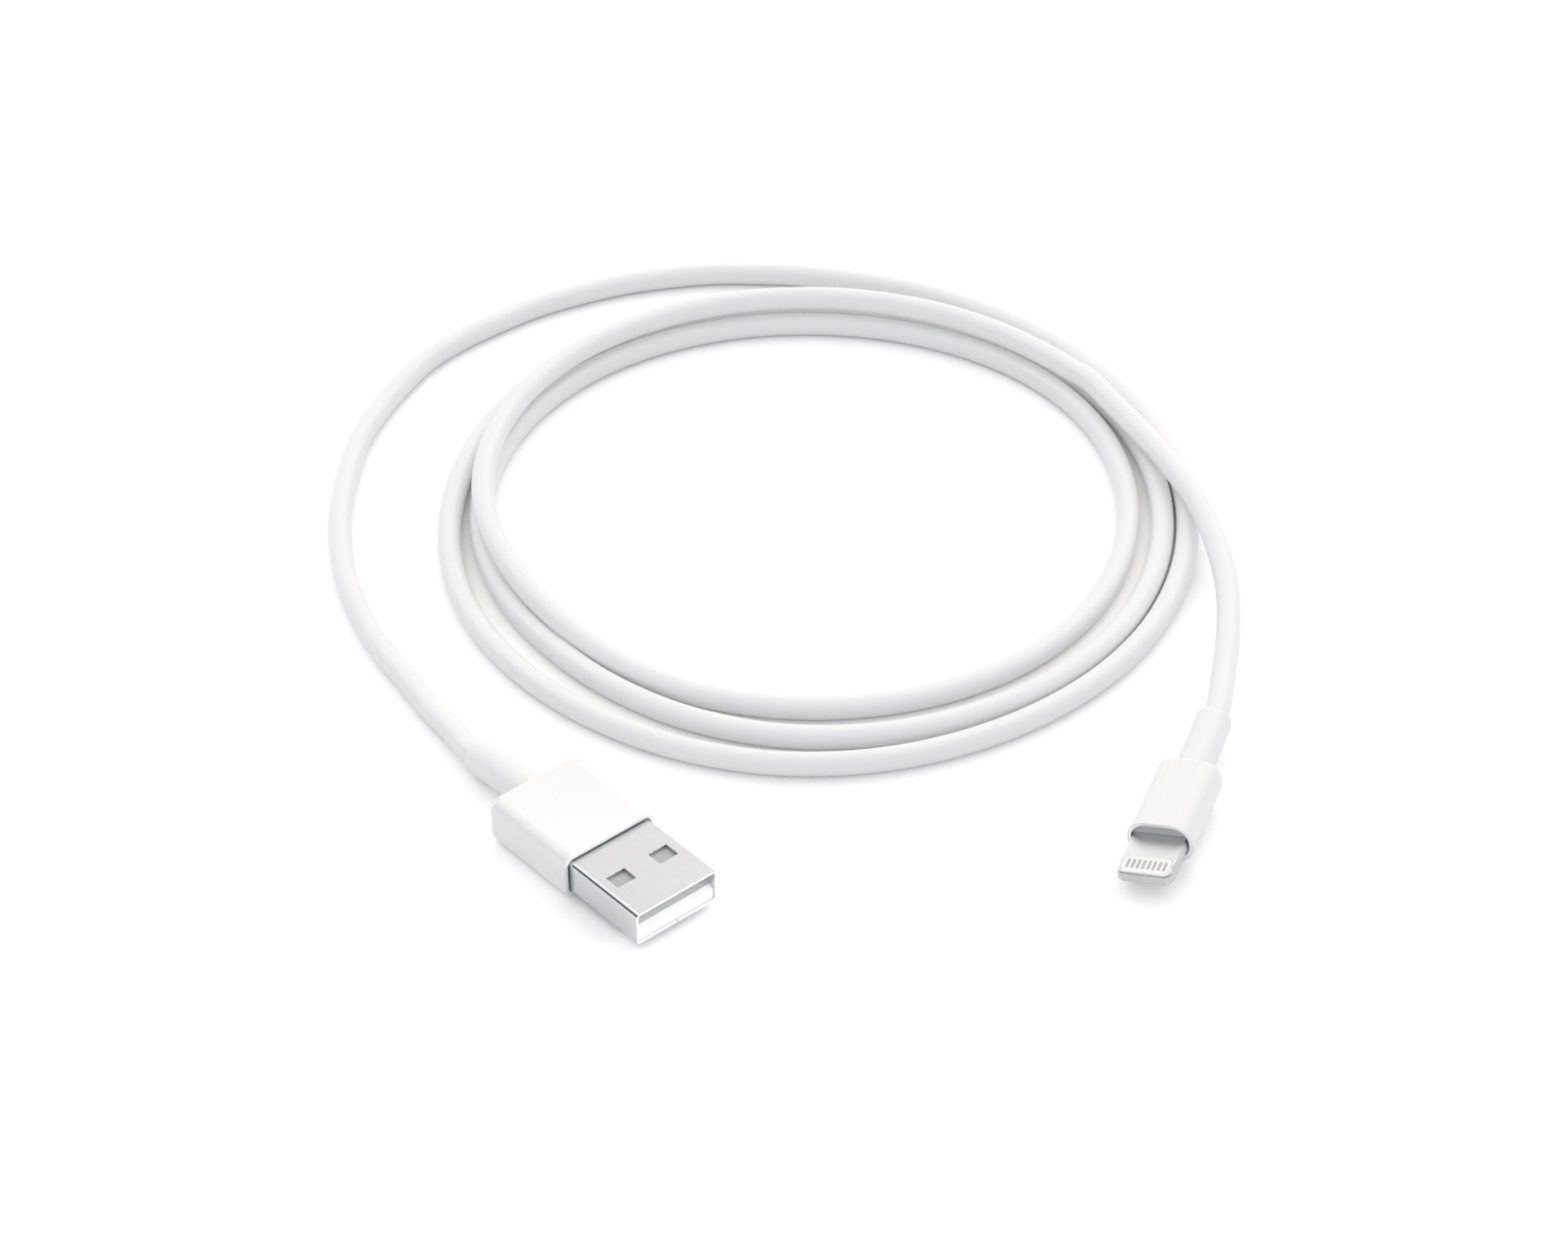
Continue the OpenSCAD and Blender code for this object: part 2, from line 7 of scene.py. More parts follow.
import bmesh
import bpy
import numpy as np
from mathutils import Matrix, Vector


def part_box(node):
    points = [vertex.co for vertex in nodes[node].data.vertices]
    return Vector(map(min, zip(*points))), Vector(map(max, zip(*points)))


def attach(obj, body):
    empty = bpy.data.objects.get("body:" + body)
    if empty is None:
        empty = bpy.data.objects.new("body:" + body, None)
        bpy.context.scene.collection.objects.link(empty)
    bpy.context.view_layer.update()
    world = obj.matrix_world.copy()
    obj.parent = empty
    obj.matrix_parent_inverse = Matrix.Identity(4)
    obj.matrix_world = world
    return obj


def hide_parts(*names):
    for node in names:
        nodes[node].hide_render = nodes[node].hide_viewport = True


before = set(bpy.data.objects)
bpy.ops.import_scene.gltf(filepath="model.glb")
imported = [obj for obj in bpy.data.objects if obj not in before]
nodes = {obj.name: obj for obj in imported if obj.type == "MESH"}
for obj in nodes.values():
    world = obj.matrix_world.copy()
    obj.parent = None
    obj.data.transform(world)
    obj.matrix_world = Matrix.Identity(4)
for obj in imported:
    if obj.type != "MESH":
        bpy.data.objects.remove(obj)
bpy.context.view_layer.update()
MM = 0.001


# ---------------------------------------------------------------- camera
# A long lens half a metre off looks 38 degrees down across the loops, from the side on
# which both plugs lie.

camera = bpy.data.objects.new("camera", bpy.data.cameras.new("camera"))
bpy.context.scene.collection.objects.link(camera)
camera.location = (0.29606, -0.22670, 0.32445)
looks_at = Vector((-0.01555, 0.04667, 0.0))
camera.rotation_mode = "QUATERNION"
camera.rotation_quaternion = (looks_at - camera.location).to_track_quat("-Z", "Y")
camera.data.lens = 96.2
camera.data.sensor_width = 36
camera.data.clip_start = 0.01
camera.data.clip_end = 20
bpy.context.scene.camera = camera


# ---------------------------------------------------------------- conductors
# Four copper conductors in coloured insulation run from the end of the jacket to the
# solder tails, two more to the small plug's board. The insulation is extruded polymer,
# so its grain runs along it.


def grain_group():
    """Shader group: two noises on the given place, one of the given fineness and one ten times
    as broad."""
    group = bpy.data.node_groups.new("surface_grain", "ShaderNodeTree")
    group.interface.new_socket("Place", in_out="INPUT", socket_type="NodeSocketVector")
    group.interface.new_socket("Fineness", in_out="INPUT", socket_type="NodeSocketFloat")
    group.interface.new_socket("Fine", in_out="OUTPUT", socket_type="NodeSocketFloat")
    group.interface.new_socket("Broad", in_out="OUTPUT", socket_type="NodeSocketFloat")
    enter = group.nodes.new("NodeGroupInput")
    leave = group.nodes.new("NodeGroupOutput")
    for name, share, detail in (("Fine", 1.0, 2.0), ("Broad", 0.1, 3.0)):
        scale = group.nodes.new("ShaderNodeMath")
        scale.operation = "MULTIPLY"
        scale.inputs[1].default_value = share
        noise = group.nodes.new("ShaderNodeTexNoise")
        noise.inputs["Detail"].default_value = detail
        group.links.new(enter.outputs["Fineness"], scale.inputs[0])
        group.links.new(enter.outputs["Place"], noise.inputs["Vector"])
        group.links.new(scale.outputs[0], noise.inputs["Scale"])
        group.links.new(noise.outputs[0], leave.inputs[name])
    return group


surface_grain = grain_group()


def ranged(tree, value, low, high):
    """The value, which runs from 0.3 to 0.7 in a noise, spread from low to high."""
    spread = tree.nodes.new("ShaderNodeMapRange")
    spread.inputs["From Min"].default_value = 0.3
    spread.inputs["From Max"].default_value = 0.7
    spread.inputs["To Min"].default_value = low
    spread.inputs["To Max"].default_value = high
    tree.links.new(value, spread.inputs["Value"])
    return spread.outputs["Result"]


def grained(name, colour, shade, rough, grain, height, metal=0.0, drawn=(1, 1, 1), laid=None):
    """A finish whose colour wanders between colour and shade, and its roughness between the two
    of rough, with a grain of that size and height in metres, stretched where drawn is below 1.
    laid names the attribute that holds the place on a cord; elsewhere it is Object coordinates."""
    made = bpy.data.materials.new(name)
    made.use_nodes = True
    tree = made.node_tree
    surface = tree.nodes["Principled BSDF"]
    surface.inputs["Metallic"].default_value = metal
    if laid:
        place = tree.nodes.new("ShaderNodeAttribute")
        place.attribute_name = laid
        place = place.outputs["Vector"]
    else:
        place = tree.nodes.new("ShaderNodeTexCoord").outputs["Object"]
    stretch = tree.nodes.new("ShaderNodeMapping")
    stretch.inputs["Scale"].default_value = drawn
    tree.links.new(place, stretch.inputs["Vector"])
    pattern = tree.nodes.new("ShaderNodeGroup")
    pattern.node_tree = surface_grain
    pattern.inputs["Fineness"].default_value = 1 / grain
    tree.links.new(stretch.outputs["Vector"], pattern.inputs["Place"])
    tint = tree.nodes.new("ShaderNodeMix")
    tint.data_type = "RGBA"
    tint.inputs["A"].default_value = (*shade, 1)
    tint.inputs["B"].default_value = (*colour, 1)
    tree.links.new(ranged(tree, pattern.outputs["Broad"], 0, 1), tint.inputs["Factor"])
    tree.links.new(tint.outputs["Result"], surface.inputs["Base Color"])
    tree.links.new(ranged(tree, pattern.outputs["Fine"], *rough), surface.inputs["Roughness"])
    bump = tree.nodes.new("ShaderNodeBump")
    bump.inputs["Strength"].default_value = 1
    bump.inputs["Distance"].default_value = height
    tree.links.new(pattern.outputs["Fine"], bump.inputs["Height"])
    tree.links.new(bump.outputs["Normal"], surface.inputs["Normal"])
    return made


def coat(node, finish):
    """The CAD node stays as it is and takes the finish."""
    for holder in nodes[node].material_slots:
        holder.material = finish


for node, colour in (
    ("wire_red", (0.62, 0.03, 0.025)),
    ("wire_white", (0.86, 0.86, 0.84)),
    ("wire_green", (0.03, 0.34, 0.08)),
    ("wire_black", (0.022, 0.022, 0.024)),
    ("tip_wires", (0.62, 0.03, 0.025)),
):
    dusky = tuple(0.86 * c for c in colour)
    coat(node, grained(node, colour, dusky, (0.34, 0.46), 0.08 * MM, 2e-6, drawn=(0.15, 1, 1)))


# ---------------------------------------------------------------- contacts
# Phosphor-bronze strips and pads, stamped and nickel plated, so they look like pale steel.
# The stamping leaves their upper edges slightly rolled.


def rolled(node, finish, radius):
    """A copy of the node's triangles: doubles merged, flat faces joined, edges over 30 degrees
    rounded by a bevel of that radius, and each face's shading kept flat beside the rounding."""
    mesh = nodes[node].data.copy()
    work = bmesh.new()
    work.from_mesh(mesh)
    bmesh.ops.remove_doubles(work, verts=work.verts, dist=1e-7)
    bmesh.ops.dissolve_limit(work, angle_limit=0.02, verts=work.verts, edges=work.edges)
    work.to_mesh(mesh)
    work.free()
    if "custom_normal" in mesh.attributes:
        mesh.attributes.remove(mesh.attributes["custom_normal"])
    mesh.materials.clear()
    mesh.materials.append(finish)
    mesh.polygons.foreach_set("use_smooth", np.ones(len(mesh.polygons), bool))
    piece = bpy.data.objects.new(node + ".finished", mesh)
    bpy.context.scene.collection.objects.link(piece)
    edge = piece.modifiers.new("rolled edges", "BEVEL")
    edge.width = radius
    edge.segments = 3
    edge.limit_method = "ANGLE"
    edge.angle_limit = np.radians(30)
    edge.harden_normals = True
    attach(piece, "root")
    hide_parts(node)
    return piece


plating = grained(
    "contact_plating", (0.74, 0.74, 0.745), (0.68, 0.68, 0.69), (0.3, 0.42), 0.05 * MM, 5e-7,
    metal=1,
)
rolled("usb_contacts", plating, 0.05 * MM)


# ---------------------------------------------------------------- USB insulator
# One white nylon moulding: the block that the contacts are pressed into and the tongue
# under the shell's mouth. Its moulded edges are nearly sharp.

MOULDED_EDGE = 0.015 * MM
nylon = grained(
    "nylon", (0.95, 0.95, 0.95), (0.935, 0.938, 0.945), (0.4, 0.52), 0.06 * MM, 1e-6
)
rolled("usb_insulator", nylon, MOULDED_EDGE)


# ---------------------------------------------------------------- USB shell
# Steel strip 0.3 mm thick, pierced for the latches, folded round and locked by a dovetail
# below, then nickel plated. Rolling leaves faint lines along it. Its inside faces take a
# paler, rougher nickel: painted light, which lifts the shade inside the shell.

SHEET = 0.3
ROLLED_EDGE = 0.12 * MM
nickel = grained(
    "nickel", (0.635, 0.64, 0.655), (0.61, 0.615, 0.633), (0.2, 0.3), 0.05 * MM, 4e-7,
    metal=1, drawn=(0.2, 1, 1),
)
# Paler nickel for the shell's inside faces: painted light for the shade inside the shell.
painted_light_nickel = grained(
    "painted_light_nickel", (0.92, 0.92, 0.92), (0.9, 0.9, 0.9), (0.4, 0.5), 0.05 * MM, 4e-7, metal=1
)
usb_shell = rolled("usb_shell", nickel, ROLLED_EDGE)
usb_shell.data.materials.append(painted_light_nickel)
shell_low, shell_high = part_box("usb_shell")
shell_wide, shell_tall = shell_high.y / MM, (shell_high.z - shell_low.z) / 2 / MM
shell_level = (shell_high.z + shell_low.z) / 2
# Faces inside the sheet take the painted light nickel.
face_middles = np.array([face.center for face in usb_shell.data.polygons]) / MM
INNER = SHEET - 0.02
is_inner = (np.abs(face_middles[:, 1]) < shell_wide - INNER) & (
    np.abs(face_middles[:, 2] - shell_level / MM) < shell_tall - INNER
)
usb_shell.data.polygons.foreach_set("material_index", is_inner.astype(np.int32))


# ---------------------------------------------------------------- painted shade under the latch windows
# A strip of pale grey film closes the two windows from within; its grey is painted shade,
# standing in for the shaded hollow seen through them. It is pressed into a shallow tray, whose
# two rims are glued to the underside of the shell's upper sheet.


def sections(stations, arc=10):
    """Rings across X, one for each station (x, half width, half height, corner radius): a
    rectangle whose corners are arcs of the given number of steps. Where the half width and the
    half height equal the radius it is a circle."""
    x, wide, high, corner = np.array(stations, float).T[:, :, None] * MM
    quarter = np.repeat(np.arange(4), arc + 1)
    angle = np.radians(90 * quarter + 90 * np.tile(np.linspace(0, 1, arc + 1), 4))
    out = np.array([1, -1, -1, 1])[quarter]
    up = np.array([1, 1, -1, -1])[quarter]
    y = out * (wide - corner) + corner * np.cos(angle)
    z = up * (high - corner) + corner * np.sin(angle)
    return np.stack([np.broadcast_to(x, y.shape), y, z], axis=2)


def skin(name, rings, closed, finish, place=None):
    """A piece whose faces join each point of a ring to its neighbour and to the same points of
    the next ring. closed joins the last ring to the first; otherwise each end is a fan to its
    middle point."""
    count, around = rings.shape[:2]
    points = rings.reshape(-1, 3)
    index = np.arange(count * around).reshape(count, around)
    after = np.roll(index, -1, axis=0) if closed else index[1:]
    here = index if closed else index[:-1]
    quads = np.stack([here, np.roll(here, -1, 1), np.roll(after, -1, 1), after], axis=2)
    faces = quads.reshape(-1, 4).tolist()
    if not closed:
        points = np.vstack([points, rings[0].mean(0), rings[-1].mean(0)])
        for ring, middle in ((index[0][::-1], len(points) - 2), (index[-1], len(points) - 1)):
            fan = np.stack([ring, np.roll(ring, -1), np.full(around, middle)], axis=1)
            faces += fan.tolist()
    if place is not None:
        points = points @ place[:3, :3].T + place[:3, 3]
    mesh = bpy.data.meshes.new(name)
    mesh.from_pydata(points.tolist(), [], faces)
    work = bmesh.new()
    work.from_mesh(mesh)
    bmesh.ops.remove_doubles(work, verts=work.verts, dist=1e-8)
    bmesh.ops.recalc_face_normals(work, faces=work.faces)
    work.to_mesh(mesh)
    work.free()
    mesh.polygons.foreach_set("use_smooth", np.ones(len(mesh.polygons), bool))
    mesh.materials.append(finish)
    piece = bpy.data.objects.new(name, mesh)
    bpy.context.scene.collection.objects.link(piece)
    weigh = piece.modifiers.new("even shading", "WEIGHTED_NORMAL")
    weigh.keep_sharp = True
    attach(piece, "root")
    return piece


FILM_WIDE = 4.9
FILM_THICK = 0.05
FILM_ROUND = 0.02
FILM_DEEP = 0.18
FILM_BENDS = 11.1, 11.4, 11.7, 14.1, 14.4, 14.7
SUNK = 0, 0, 1, 1, 0, 0
# The film's grey is painted shade for the hollow under the windows.
painted_shade_film = grained("painted_shade_film", (0.53, 0.53, 0.535), (0.5, 0.5, 0.505), (0.35, 0.45), 0.1 * MM, 1e-6)
strip = [
    (x, FILM_WIDE, FILM_THICK / 2, FILM_ROUND)
    for x in np.linspace(FILM_BENDS[0], FILM_BENDS[-1], 37)
]
tray = sections(strip, arc=3)
tray[..., 2] -= FILM_DEEP * MM * np.interp(tray[..., 0] / MM, FILM_BENDS, SUNK)
under_sheet = np.array(
    Matrix.Translation((0, 0, shell_high.z - (SHEET + FILM_THICK / 2) * MM))
)
skin("usb_painted_shade_film", tray, False, painted_shade_film, under_sheet)


# ---------------------------------------------------------------- shields and crimp rings
# Tin-plated sheet, folded into trays that close over the solder joints, and rings crimped
# round the cord's ends. The tin is duller than the nickel.

tin = grained(
    "tin", (0.66, 0.66, 0.655), (0.55, 0.55, 0.55), (0.34, 0.5), 0.12 * MM, 2e-6, metal=1
)
for node in (
    "usb_shield_upper", "usb_shield_lower", "usb_crimp",
    "tip_shield_upper", "tip_shield_lower", "tip_crimp",
):
    coat(node, tin)


# ---------------------------------------------------------------- USB grip
# A white polycarbonate shell moulded over the shields. Its front is open round the steel
# shell, with a thin gap, and it is hollow inside as far as the cord's bore.


def round_end(x, reach, turn, steps=8):
    """Stations' x and inset along a quarter round of the given radius, whose end plane is at x.
    turn is -1 at the back end and 1 at the front one."""
    angle = np.radians(np.linspace(0, 90, steps + 1))
    return x + turn * reach * (np.sin(angle) - 1), reach * (1 - np.cos(angle))


grip = grained(
    "grip", (0.925, 0.925, 0.918), (0.916, 0.917, 0.916), (0.2, 0.28), 0.25 * MM, 1.5e-6
)
low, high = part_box("usb_housing")
usb_back, usb_front = low.x / MM, high.x / MM
usb_wide, usb_high = high.y / MM, (high.z - low.z) / 2 / MM
usb_axis = np.eye(4)
usb_axis[2, 3] = (high.z + low.z) / 2
shell_back = shell_low.x / MM
can_low, can_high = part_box("usb_shield_upper")
can_back = can_low.x / MM
# In millimetres: the roundings outside, then the mouth round the shell, the room for the
# shields and the crimp, and the bore for the cord, each with a little play.
PLAN_ROUND = 0.6
BACK_ROUND = 0.3
LONG_EDGE = 1.6
EDGE_TIGHTENS = 0.4
FRONT_ROUND = 0.3
LIP = 0.05
GAP = 0.2
MOUTH_DEEP = 1.4
SHELL_CORNER = 0.6
CAN_CORNER = 0.2
CRIMP_ROOM = 1.92
CRIMP_LONG = 1.3
BORE = 1.52
SNUG = 0.02

back_x, plan_inset = round_end(usb_back, PLAN_ROUND, -1)
depth = np.clip(BACK_ROUND - (back_x - usb_back), 0, None)
side_inset = BACK_ROUND - np.sqrt(BACK_ROUND**2 - np.minimum(depth, BACK_ROUND) ** 2)
back = [
    (x, usb_wide - a, usb_high - b, LONG_EDGE - EDGE_TIGHTENS * b)
    for x, a, b in zip(back_x, plan_inset, side_inset)
][::-1]
front_x, inset = round_end(usb_front, FRONT_ROUND, 1)
front = [(x, usb_wide - i, usb_high - i, LONG_EDGE - i) for x, i in zip(front_x, inset)]
mouth = shell_wide + GAP, shell_tall + GAP, SHELL_CORNER + GAP
seat = shell_wide + SNUG, shell_tall + SNUG, SHELL_CORNER + SNUG
can = can_high.y / MM + SNUG, (can_high.z - usb_axis[2, 3]) / MM + SNUG, CAN_CORNER
inside = [
    (usb_front, *(m + LIP for m in mouth)),
    (usb_front - LIP, *mouth),
    (usb_front - MOUTH_DEEP, *mouth),
    (usb_front - MOUTH_DEEP - SNUG, *seat),
    (shell_back - SNUG, *seat),
    (shell_back - 2 * SNUG, *can),
    (can_back - SNUG, *can),
    (can_back - 2 * SNUG, CRIMP_ROOM, CRIMP_ROOM, CRIMP_ROOM),
    (can_back - CRIMP_LONG + SNUG, CRIMP_ROOM, CRIMP_ROOM, CRIMP_ROOM),
    (can_back - CRIMP_LONG, BORE, BORE, BORE),
    (usb_back, BORE, BORE, BORE),
]
usb_grip = skin(
    "usb_grip", sections(back + front + inside), True, grip, usb_axis
)
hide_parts("usb_housing")


# ---------------------------------------------------------------- strain reliefs
# A sleeve of soft white elastomer moulded round the jacket's end and against the grip, with
# a rounded free end. It is satin, a hair's groove shows where it meets the grip, and it
# bends a little where the cord pulls at it.


def bent(rings, start, long, aside, drop):
    """Points along X let off it past start: at the distance long they are aside in Y and lower
    by drop, growing with the square of the distance, and each ring turns to stay square to the
    bent axis."""
    x, y, z = np.moveaxis(np.asarray(rings, float), -1, 0)
    way = np.clip((start - x) / long, 0, None)
    along = x + 2 * way / long * (y * aside - z * drop)
    return np.stack([along, y + aside * way**2, z - drop * way**2], axis=-1)


GROOVE = (0, 0.12), (0.1, 0.12), (0.22, 0.02)
STRAIGHT_FROM, STRAIGHT_TO = 0.5, 1.0
FREE_ROUND = 0.6
FLARE = 0.04
FLARE_LONG = 0.15
JACKET = 1.5


def relief_stations(start, end, radius):
    """The sleeve from the grip at start towards -X to its free end, then back along the bore.
    The outside is straight but for a groove at the grip, given as distances and depths, and a
    round free end."""
    round_x, round_in = round_end(end, FREE_ROUND, -1, steps=10)
    outside = [(start - far, radius - deep) for far, deep in GROOVE]
    outside += [(x, radius) for x in np.linspace(start - STRAIGHT_FROM, end + STRAIGHT_TO, 8)]
    outside += [(x, radius - i) for x, i in zip(round_x, round_in)]
    bore = [(end, BORE + FLARE), (end + FLARE_LONG, BORE), (start, BORE)]
    return [(x, r, r, r) for x, r in outside + bore]


def jacket_rod(start, end):
    """Stations of the jacket inside a plug, from start to end."""
    return [(x, JACKET, JACKET, JACKET) for x in np.linspace(start, end, 16)]


elastomer = grained(
    "elastomer", (0.92, 0.92, 0.92), (0.905, 0.908, 0.915), (0.36, 0.46), 0.12 * MM, 2.5e-6
)
jacket_end = grained(
    "jacket_end", (0.9, 0.905, 0.9), (0.87, 0.875, 0.88), (0.38, 0.5), 0.1 * MM, 2e-6
)
low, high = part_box("usb_strain_relief")
end_low, end_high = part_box("usb_jacket_end")
USB_ASIDE, USB_DROP = 0.08 * MM, 0.75 * MM
USB_BEND = high.x, high.x - low.x, USB_ASIDE, USB_DROP
usb_relief = skin(
    "usb_relief",
    bent(sections(relief_stations(high.x / MM, low.x / MM, high.y / MM), arc=12), *USB_BEND),
    True, elastomer, usb_axis,
)
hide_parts("usb_strain_relief")
usb_jacket = skin(
    "usb_jacket",
    bent(sections(jacket_rod(end_high.x / MM, end_low.x / MM)), *USB_BEND),
    False, jacket_end, usb_axis,
)
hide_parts("usb_jacket_end")


# ---------------------------------------------------------------- small plug: board
# A green board with a moulded chip above and three ceramic capacitors below, inside the
# small plug's shields. Solder mask is glossy, the chip matt.

coat("tip_board", grained(
    "solder_mask", (0.03, 0.2, 0.07), (0.02, 0.15, 0.05), (0.2, 0.3), 0.3 * MM, 2e-6
))
coat("tip_chip", grained(
    "chip_resin", (0.03, 0.03, 0.032), (0.02, 0.02, 0.022), (0.5, 0.65), 0.05 * MM, 3e-6
))
coat("tip_capacitors", grained(
    "ceramic", (0.42, 0.28, 0.15), (0.35, 0.23, 0.12), (0.4, 0.55), 0.06 * MM, 2e-6
))


# ---------------------------------------------------------------- small plug: tongue
# Cast and polished steel, nickel plated, with a round notch in each side and a window
# through it for the contacts. Its edge all round is rounded so that it finds the socket,
# and given a darker nickel than its faces: painted shade, as if it reflected the shadow
# under the tongue.

tip_place = np.array(
    Matrix.Translation(Vector((47.4, 49.8, 2.953)) * MM)
    @ Matrix.Rotation(np.radians(-62.5), 4, "Z")
    @ Matrix.Rotation(np.radians(3), 4, "Y")
    @ Matrix.Rotation(np.radians(10), 4, "X")
)
polished = grained(
    "polished_nickel", (0.77, 0.773, 0.78), (0.75, 0.753, 0.765), (0.34, 0.42), 0.04 * MM, 3e-7,
    metal=1,
)
# Darker nickel for the tongue's edge faces: painted shade for the shadow it reflects.
painted_shade_edge = grained(
    "painted_shade_edge_nickel", (0.56, 0.563, 0.57), (0.53, 0.533, 0.545), (0.34, 0.42), 0.04 * MM, 3e-7,
    metal=1,
)
TONGUE_EDGE = 0.07 * MM
FLANK = 0.8
tip_tongue = rolled("tip_blade", polished, TONGUE_EDGE)
tip_tongue.data.materials.append(painted_shade_edge)
normals = np.array([face.normal for face in tip_tongue.data.polygons])
is_edge = np.abs(normals @ tip_place[:3, 2]) < FLANK
tip_tongue.data.polygons.foreach_set("material_index", is_edge.astype(np.int32))


# ---------------------------------------------------------------- small plug: contacts
# On each face a white insert with rounded corners holds eight plated pads, flush with the
# steel round them.

tip_inserts = [
    rolled(node, nylon, MOULDED_EDGE)
    for node in ("tip_insert_top", "tip_insert_bottom")
]
pads = grained(
    "pad_plating", (0.5, 0.5, 0.5), (0.46, 0.46, 0.46), (0.25, 0.4), 0.03 * MM, 3e-7, metal=1
)
for node in ("tip_contacts_top", "tip_contacts_bottom"):
    coat(node, pads)


# ---------------------------------------------------------------- small plug: grip
# A white shell like the larger plug's, nearly half round along its sides. Its thin front
# edge holds a steel collar, and a grey seal closes the recess round the tongue's root; its
# grey is painted shade, standing in for the shade deep in the recess.

# In millimetres from the front edge: the outside with its half width and half height, the
# recess with the opening for the tongue's root, then the room for the shields and the crimp.
TIP_LONG = 12.3
TIP_WIDE = 4.0
TIP_HIGH = 2.7
TIP_EDGE = 2.5
TIP_BACK = 0.5
TIP_FRONT = 0.08
SLEEVE = 0.1
RECESS = 0.5
ROOT = 3.37, 0.77, 0.2
TIP_CAN = 3.02, 1.62, 0.05
CAN_FROM, CAN_TO = 1.02, 9.02
CRIMP_TO = 10.3
CRIMP_CORNER = 1.62


def tip_ring(x, inset):
    """A station of the grip's own outline, drawn in by inset all round."""
    return x, TIP_WIDE - inset, TIP_HIGH - inset, TIP_EDGE - inset


back = [tip_ring(x, inset) for x, inset in zip(*round_end(-TIP_LONG, TIP_BACK, -1))][::-1]
front = [tip_ring(x, inset) for x, inset in zip(*round_end(0, TIP_FRONT, 1, steps=4))]
inside = [
    tip_ring(0, SLEEVE),
    tip_ring(-RECESS, SLEEVE),
    (-RECESS, *ROOT),
    (-CAN_FROM, *ROOT),
    (-CAN_FROM, *TIP_CAN),
    (-CAN_TO, *TIP_CAN),
    (-CAN_TO - SNUG, CRIMP_ROOM, CRIMP_ROOM, CRIMP_CORNER),
    (-CRIMP_TO, CRIMP_ROOM, CRIMP_ROOM, CRIMP_ROOM),
    (-CRIMP_TO - SNUG, BORE, BORE, BORE),
    (-TIP_LONG, BORE, BORE, BORE),
]
tip_grip = skin(
    "tip_grip", sections(back + front + inside), True, grip, tip_place
)
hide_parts("tip_housing")

RIM = 0.5
RIM_ROUND = 0.04
CLEAR = 0.01
COLLAR_FROM = -0.48
SEAL_FROM, SEAL_TO = -0.49, -0.45
satin = grained(
    "collar_steel", (0.86, 0.86, 0.87), (0.82, 0.82, 0.83), (0.4, 0.5), 0.04 * MM, 5e-7, metal=1
)
collar = [
    tip_ring(x, inset) for x, inset in (
        (COLLAR_FROM, SLEEVE + CLEAR), (-RIM_ROUND, SLEEVE + CLEAR), (0, SLEEVE + RIM_ROUND),
        (0, RIM - RIM_ROUND), (-RIM_ROUND, RIM), (COLLAR_FROM, RIM),
    )
]
tip_collar = skin("tip_collar", sections(collar), True, satin, tip_place)
# The seal's grey is painted shade for the shade deep in the recess round the tongue's root.
painted_shade_seal = grained(
    "painted_shade_seal", (0.56, 0.56, 0.57), (0.52, 0.52, 0.53), (0.5, 0.6), 0.05 * MM, 3e-6
)
seal = [
    tip_ring(SEAL_FROM, RIM + CLEAR), tip_ring(SEAL_TO, RIM + CLEAR),
    (SEAL_TO, *ROOT), (SEAL_FROM, *ROOT),
]
tip_painted_shade_seal = skin("tip_painted_shade_seal", sections(seal), True, painted_shade_seal, tip_place)

TIP_RELIEF_LONG = 10.6
TIP_RELIEF_RADIUS = 2.2
TIP_JACKET_FROM = -9.05
TIP_ASIDE, TIP_DROP = -0.3 * MM, 0.1 * MM
TIP_BEND = -TIP_LONG * MM, TIP_RELIEF_LONG * MM, TIP_ASIDE, TIP_DROP
relief_end = -TIP_LONG - TIP_RELIEF_LONG
tip_relief = skin(
    "tip_relief",
    bent(sections(relief_stations(-TIP_LONG, relief_end, TIP_RELIEF_RADIUS), arc=12), *TIP_BEND),
    True, elastomer, tip_place,
)
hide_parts("tip_strain_relief")
tip_jacket = skin(
    "tip_jacket", bent(sections(jacket_rod(TIP_JACKET_FROM, relief_end)), *TIP_BEND),
    False, jacket_end, tip_place,
)
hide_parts("tip_jacket_end")


# ---------------------------------------------------------------- cord
# One satin white jacket 3 mm thick, extruded over the conductors. It leaves the USB plug,
# winds three and a quarter times inwards, climbs over its own turns and runs to the small
# plug. It lies on the table and on itself by its own weight.

# In millimetres: the cord's diameter, its middle line from the USB plug to the loops and
# from the loops to the small plug, and between them the loops' radii at every eighth of a
# turn. The last loop climbs onto the others at the given steps.
CORD = 3.0
USB_ROUTE = [
    [-23.5, 0.9, 1.92], [-26.2, 1.3, 1.77], [-28.5, 1.6, 1.66], [-32.2, 2.3, 1.55],
    [-35.1, 2.9, 1.5], [-41.1, 4, 1.5], [-47.1, 5.5, 1.5], [-52.6, 7.5, 1.5],
    [-58.1, 10, 1.5], [-63.1, 13, 1.5], [-68.1, 16.5, 1.5], [-72.6, 20.5, 1.5],
    [-76.6, 24.5, 1.5], [-80.6, 29, 1.5], [-84.1, 34.5, 1.5], [-87.1, 40.5, 1.5],
    [-89.6, 47, 1.5], [-90.6, 53.5, 1.5], [-90.6, 60, 1.5], [-90.1, 66.5, 1.5],
    [-88.6, 73, 1.5], [-86.6, 79, 1.5], [-83.6, 85, 1.5], [-80.1, 90.5, 1.5],
    [-76.1, 95, 1.5],
]
